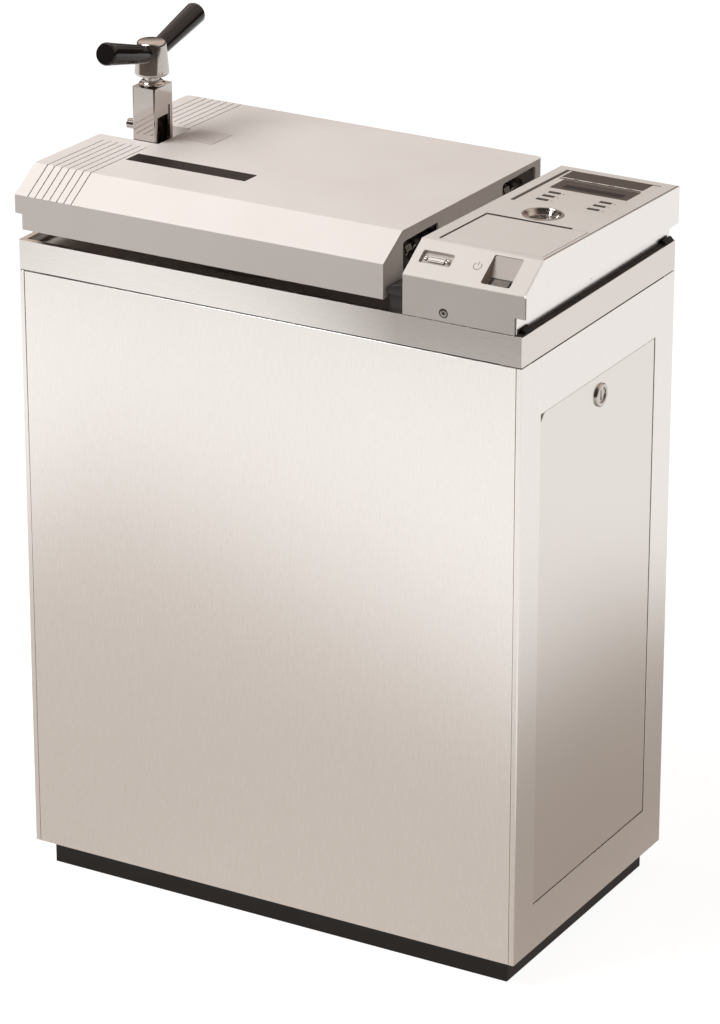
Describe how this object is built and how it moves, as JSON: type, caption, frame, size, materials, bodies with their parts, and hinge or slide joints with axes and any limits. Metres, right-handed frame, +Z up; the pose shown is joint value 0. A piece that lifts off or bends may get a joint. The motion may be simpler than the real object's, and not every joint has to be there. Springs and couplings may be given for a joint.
{
  "type": "vertical autoclave",
  "caption": "Floor-standing top-loading autoclave: stainless casing, hinged lid with a screw clamp, deep round chamber and a control hood beside the lid.",
  "frame": {"origin": "on the floor, below the middle of the casing", "axes": "+X to the right, +Y to the rear, +Z up; the front faces -Y"},
  "size_m": [0.8076, 0.458, 1.2398],
  "materials": {
    "casing_steel": "brushed stainless sheet, satin",
    "plinth_black": "black powder coat",
    "inner_steel": "mill-finished stainless",
    "seal_black": "matt black rubber",
    "mineral_wool": "faced mineral wool sleeve",
    "valve_brass": "machined brass",
    "black_plastic": "moulded black plastic",
    "terminal_green": "moulded plastic",
    "dark_iron": "dark grey paint",
    "ground_steel": "ground and plated steel",
    "moulded_grey": "satin moulded plastic, warm light grey",
    "panel_print": "printed foil",
    "polished_chrome": "polished chrome plate",
    "rocker_grey": "gloss moulded plastic",
    "gasket_rubber": "silicone rubber",
    "arm_black": "black phenolic, gloss"
  },
  "bodies": {
    "root": {"plinth": "plinth_black", "floor_pan": "inner_steel", "front_panel": "casing_steel", "left_side_panel": "casing_steel", "right_side_panel": "casing_steel", "rear_panel": "casing_steel", "corner_angles": "inner_steel", "collar_seal": "seal_black", "top_collar": "casing_steel", "deck_plate": "inner_steel", "pressure_vessel": "inner_steel", "vessel_flange": "inner_steel", "insulation_jacket": "mineral_wool", "heater_ring": "inner_steel", "sieve_plate": "inner_steel", "temperature_probe": "inner_steel", "drain_valve": "valve_brass", "drain_pipe": "inner_steel", "safety_valve": "valve_brass", "drain_port": "inner_steel", "cable_inlet": "black_plastic", "mounting_plate": "inner_steel", "terminal_block": "terminal_green", "power_relays": "black_plastic", "hinge_brackets": "dark_iron", "hinge_shaft": "ground_steel", "torsion_springs": "ground_steel", "clamp_keeper": "dark_iron", "gap_block": "black_plastic", "trough_clips": "seal_black", "control_hood": "moulded_grey", "hood_side_panel": "casing_steel", "panel_foil": "panel_print", "display_module": "black_plastic", "pressure_gauge": "polished_chrome", "printer_unit": "black_plastic", "data_socket": "polished_chrome", "switch_frame": "black_plastic", "hood_screws": "ground_steel"},
    "lid": {"lid_cover": "moulded_grey", "name_plates": "panel_print", "lid_crossbar": "dark_iron", "pressure_lid": "inner_steel", "lid_gasket": "gasket_rubber", "lid_bolt": "inner_steel", "clamp_post": "polished_chrome"},
    "clamp": {"clamp_handle": "polished_chrome", "handle_arms": "arm_black"},
    "latch": {"latch_button": "polished_chrome"},
    "flap": {"service_flap": "moulded_grey"},
    "door": {"service_door": "casing_steel"},
    "lock": {"door_lock": "polished_chrome"},
    "rocker": {"rocker_switch": "rocker_grey"},
    "needle": {"gauge_needle": "black_plastic"},
    "key_body_1": {"key_1": "black_plastic"},
    "key_body_2": {"key_2": "black_plastic"},
    "key_body_3": {"key_3": "black_plastic"},
    "key_body_4": {"key_4": "black_plastic"},
    "key_body_5": {"key_5": "black_plastic"},
    "key_body_6": {"key_6": "black_plastic"}
  },
  "joints": [
    {"name": "lid_hinge", "type": "hinge", "parent": "root", "child": "lid", "pos_m": [0.161, 0, 1.029], "axis": [0, 1, 0], "range_deg": [0, 68]},
    {"name": "clamp_turn", "type": "hinge", "parent": "lid", "child": "clamp", "pos_m": [-0.33, 0.017, 1.149], "axis": [0, 0, 1], "range_deg": [0, 90]},
    {"name": "latch_slide", "type": "slide", "parent": "lid", "child": "latch", "axis": [1, 0, 0], "range_m": [0, 0.003], "stiffness_N_per_m": 300},
    {"name": "flap_hinge", "type": "hinge", "parent": "root", "child": "flap", "pos_m": [0.3945, -0.09999, 1.06618], "axis": [0, 0.9994, -0.0334], "range_deg": [0, 95]},
    {"name": "door_tilt", "type": "hinge", "parent": "root", "child": "door", "pos_m": [0.397, 0, 0.1124], "axis": [0, 1, 0], "range_deg": [0, 20]},
    {"name": "lock_turn", "type": "hinge", "parent": "door", "child": "lock", "pos_m": [0.399, 0.006, 0.8184], "axis": [1, 0, 0], "range_deg": [0, 90]},
    {"name": "rocker_tilt", "type": "hinge", "parent": "root", "child": "rocker", "pos_m": [0.355, -0.20548, 1.03503], "axis": [1, 0, 0], "range_deg": [0, 24]},
    {"name": "needle_turn", "type": "hinge", "parent": "root", "child": "needle", "pos_m": [0.3054, 0.00428, 1.0575], "axis": [0, -0.0334, -0.9994], "range_deg": [0, 270]},
    {"name": "key_1_press", "type": "slide", "parent": "root", "child": "key_body_1", "axis": [0, -0.0334, -0.9994], "range_m": [0, 0.0008], "stiffness_N_per_m": 250},
    {"name": "key_2_press", "type": "slide", "parent": "root", "child": "key_body_2", "axis": [0, -0.0334, -0.9994], "range_m": [0, 0.0008], "stiffness_N_per_m": 250},
    {"name": "key_3_press", "type": "slide", "parent": "root", "child": "key_body_3", "axis": [0, -0.0334, -0.9994], "range_m": [0, 0.0008], "stiffness_N_per_m": 250},
    {"name": "key_4_press", "type": "slide", "parent": "root", "child": "key_body_4", "axis": [0, -0.0334, -0.9994], "range_m": [0, 0.0008], "stiffness_N_per_m": 250},
    {"name": "key_5_press", "type": "slide", "parent": "root", "child": "key_body_5", "axis": [0, -0.0334, -0.9994], "range_m": [0, 0.0008], "stiffness_N_per_m": 250},
    {"name": "key_6_press", "type": "slide", "parent": "root", "child": "key_body_6", "axis": [0, -0.0334, -0.9994], "range_m": [0, 0.0008], "stiffness_N_per_m": 250}
  ]
}
